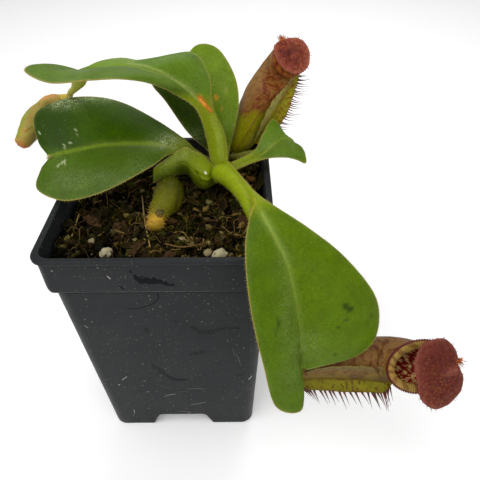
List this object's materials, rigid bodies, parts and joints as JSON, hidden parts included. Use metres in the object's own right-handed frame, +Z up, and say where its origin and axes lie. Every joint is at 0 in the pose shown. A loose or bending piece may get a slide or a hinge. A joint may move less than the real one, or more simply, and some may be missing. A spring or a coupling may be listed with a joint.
{
  "type": "potted pitcher plant",
  "caption": "Young tropical pitcher plant with hanging leaves and lidded cups, growing in a deep square black nursery pot.",
  "frame": {"origin": "under the middle of the whole part's box, on the surface that the pot stands on", "axes": "+Z up, -Y towards the front where the small pitcher lies on the soil, +X to the right, towards the front pitcher"},
  "size_m": [0.181, 0.1238, 0.1783],
  "materials": {
    "pot_plastic": "dull black, dusty",
    "soil": "crumbly potting mix with moss",
    "stone": "pale, rough",
    "bark": "rough",
    "leaf": "satin with fine hairs",
    "stem": "satin",
    "pitcher": "satin, mottled red brown",
    "lip": "glossy, ribbed",
    "lid": "dull, mottled maroon",
    "young_pitcher": "satin with fine hairs"
  },
  "bodies": {
    "root": {"pot": "pot_plastic", "soil": "soil", "crown": "stem", "leaf_front": "leaf", "leaf_left": "leaf", "leaf_top": "leaf", "leaf_back": "leaf", "leaf_right": "leaf", "leaf_low": "stem", "pitcher_front": "pitcher", "pitcher_front_lip": "lip", "pitcher_front_lid": "lid", "pitcher_back": "pitcher", "pitcher_back_lip": "lip", "pitcher_back_lid": "lid", "pitcher_left": "young_pitcher", "pitcher_small": "young_pitcher", "stone_1": "stone", "stone_2": "stone", "stone_3": "stone", "stone_4": "stone", "stone_5": "stone", "bark_1": "bark", "bark_2": "bark", "bark_3": "bark", "bark_4": "bark", "bark_5": "bark", "bark_6": "bark", "bark_7": "bark"}
  },
  "joints": []
}
